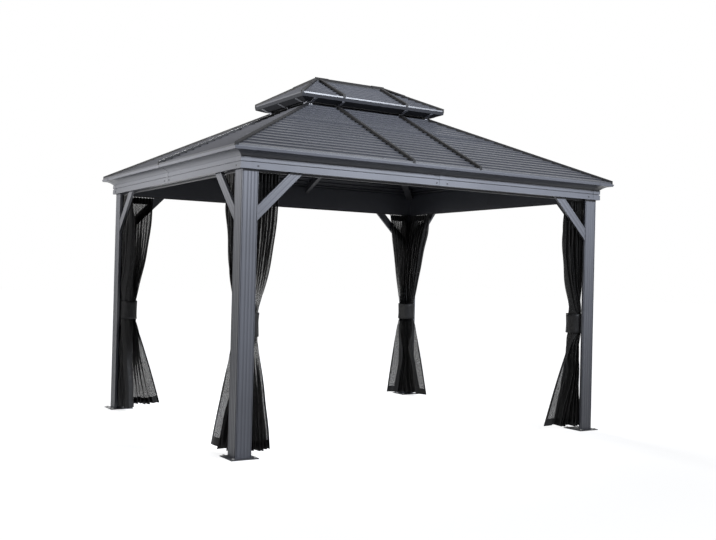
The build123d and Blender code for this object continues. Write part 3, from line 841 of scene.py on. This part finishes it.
for corner, (sx, sy) in CURTAIN_CORNER.items():
    middle = Vector((sx * (POST_CORNER[0] - TIE_INSET), sy * (POST_CORNER[1] - TIE_INSET), TIE_MIDDLE))
    bpy.ops.object.select_all(action="DESELECT")
    bpy.ops.mesh.primitive_cylinder_add(vertices=64, radius=1.0, depth=TIE_BAND, end_fill_type="NOTHING")
    band = bpy.context.object
    band.name = f"tie_band_{corner}"
    bpy.ops.object.mode_set(mode="EDIT")
    bpy.ops.mesh.select_all(action="SELECT")
    bpy.ops.mesh.subdivide(number_cuts=6)
    bpy.ops.object.mode_set(mode="OBJECT")
    turn = math.radians(-45.0 if sx * sy > 0 else 45.0)
    wave = draw.uniform(0, 6.28)
    for point in band.data.vertices:
        angle = math.atan2(point.co.y, point.co.x)
        pinch = 1.0 - 0.03 * math.cos(math.pi * point.co.z / TIE_BAND) + 0.015 * math.sin(5 * angle + wave)
        pinch *= 1.0 + 0.012 * math.sin(11 * angle + 40 * point.co.z)
        x, y = TIE_HALF * pinch * math.cos(angle), TIE_DEPTH * pinch * math.sin(angle)
        spot = Vector((
            x * math.cos(turn) - y * math.sin(turn), x * math.sin(turn) + y * math.cos(turn), 0,
        ))
        point.co = middle + spot + Vector((0, 0, point.co.z + 0.003 * math.sin(2 * angle + wave)))
    thick = band.modifiers.new("cloth", "SOLIDIFY")
    thick.thickness = TIE_CLOTH
    select_only(band)
    bpy.ops.object.modifier_apply(modifier=thick.name)
    band.data.materials.append(tie_cloth)
    band.data.shade_smooth()
    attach(band, "root")
    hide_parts("curtain_ties")

# Studio
# A pale floor and a white surround, soft lamps from the front and the left, and the camera at the
# corner where the photograph was taken.
EYE = Vector((-4.505, -7.535, 1.28))
TURN, TILT, ROLL = 31.6385, 0.629, 1.4257
LENS = 47.50
SENSOR = 36.0
WHITE = (1.0, 1.0, 1.0)
FLOOR_UNDER = (0.84, 0.84, 0.84)
FLOOR_LIT = (0.07, 0.07, 0.08)
FLOOR_SEEN = (0.80, 0.80, 0.80)
SURROUND_LIGHT = (0.125, 0.132, 0.146)
FADE_START, FADE_END = 2.5, 9.0

bpy.ops.object.select_all(action="DESELECT")
bpy.ops.mesh.primitive_plane_add(size=120.0, location=(0, 0, -0.0005))
floor = bpy.context.object
floor.name = "studio_floor"
floor_paint = bpy.data.materials.new("studio_floor")
floor_paint.use_nodes = True
floor_tree = floor_paint.node_tree
floor_shader = floor_tree.nodes["Principled BSDF"]
floor_shader.inputs["Roughness"].default_value = 0.9
floor_shader.inputs["Specular IOR Level"].default_value = 0.0
floor_shader.inputs["Emission Strength"].default_value = 1.0


def seen_directly(tree):
    """One for rays from the camera, in reflections and through clear cloth, and nothing for light."""
    rays = tree.nodes.new("ShaderNodeLightPath")
    seen = rays.outputs["Is Camera Ray"]
    for label in ("Is Glossy Ray", "Is Transmission Ray"):
        join = tree.nodes.new("ShaderNodeMath")
        join.operation = "MAXIMUM"
        tree.links.new(seen, join.inputs[0])
        tree.links.new(rays.outputs[label], join.inputs[1])
        seen = join.outputs[0]
    return seen


floor_place = floor_tree.nodes.new("ShaderNodeTexCoord").outputs["Object"]
floor_reach = floor_tree.nodes.new("ShaderNodeVectorMath")
floor_reach.operation = "LENGTH"
floor_tree.links.new(floor_place, floor_reach.inputs[0])
floor_fade = floor_tree.nodes.new("ShaderNodeMapRange")
floor_fade.inputs["From Min"].default_value = FADE_START
floor_fade.inputs["From Max"].default_value = FADE_END
floor_tree.links.new(floor_reach.outputs["Value"], floor_fade.inputs["Value"])
floor_white = mix_colours(floor_tree, floor_fade.outputs["Result"], FLOOR_UNDER, WHITE)
floor_seen = seen_directly(floor_tree)
floor_tree.links.new(
    mix_colours(floor_tree, floor_seen, (0.0, 0.0, 0.0), floor_white), floor_shader.inputs["Emission Color"],
)
floor_tree.links.new(
    mix_colours(floor_tree, floor_seen, FLOOR_LIT, FLOOR_SEEN), floor_shader.inputs["Base Color"],
)
floor.data.materials.append(floor_paint)

world = bpy.data.worlds.new("studio_surround")
bpy.context.scene.world = world
world.use_nodes = True
world_tree = world.node_tree
backdrop = world_tree.nodes["Background"]
world_colour = mix_colours(world_tree, seen_directly(world_tree), SURROUND_LIGHT, WHITE)
world_tree.links.new(world_colour, backdrop.inputs["Color"])


def soft_lamp(name, place, aim, width, height, watts, colour, spread):
    lamp = bpy.data.lights.new(name, "AREA")
    lamp.shape = "RECTANGLE"
    lamp.size, lamp.size_y = width, height
    lamp.energy = watts
    lamp.color = colour
    lamp.spread = math.radians(spread)
    holder = bpy.data.objects.new(name, lamp)
    bpy.context.scene.collection.objects.link(holder)
    holder.location = place
    holder.rotation_euler = (Vector(aim) - Vector(place)).to_track_quat("-Z", "Y").to_euler()


soft_lamp("key_lamp", (5.0, -9.5, 7.0), (0.0, -1.0, 4.1), 2.0, 1.2, 250.0, (0.86, 0.91, 1.0), 48.0)
soft_lamp("left_lamp", (-10.0, -0.5, 3.4), (0, 0, 4.0), 3.0, 1.2, 150.0, (1.0, 0.99, 0.965), 40.0)
soft_lamp("back_lamp", (2.0, 9.0, 5.5), (0, 0, 2.2), 4.0, 3.0, 120.0, (1.0, 1.0, 1.0), 90.0)

turn, tilt, roll = (math.radians(angle) for angle in (TURN, TILT, ROLL))
ahead = Vector((math.sin(turn) * math.cos(tilt), math.cos(turn) * math.cos(tilt), math.sin(tilt)))
level_right = Vector((math.cos(turn), -math.sin(turn), 0.0))
level_up = level_right.cross(ahead)
right = level_right * math.cos(roll) + level_up * math.sin(roll)
up = level_up * math.cos(roll) - level_right * math.sin(roll)
camera_data = bpy.data.cameras.new("camera")
camera_data.lens = LENS
camera_data.sensor_width = SENSOR
camera = bpy.data.objects.new("camera", camera_data)
bpy.context.scene.collection.objects.link(camera)
camera.matrix_world = Matrix.Translation(EYE) @ Matrix((right, up, -ahead)).transposed().to_4x4()
bpy.context.scene.camera = camera
bpy.context.scene.view_settings.view_transform = "Standard"
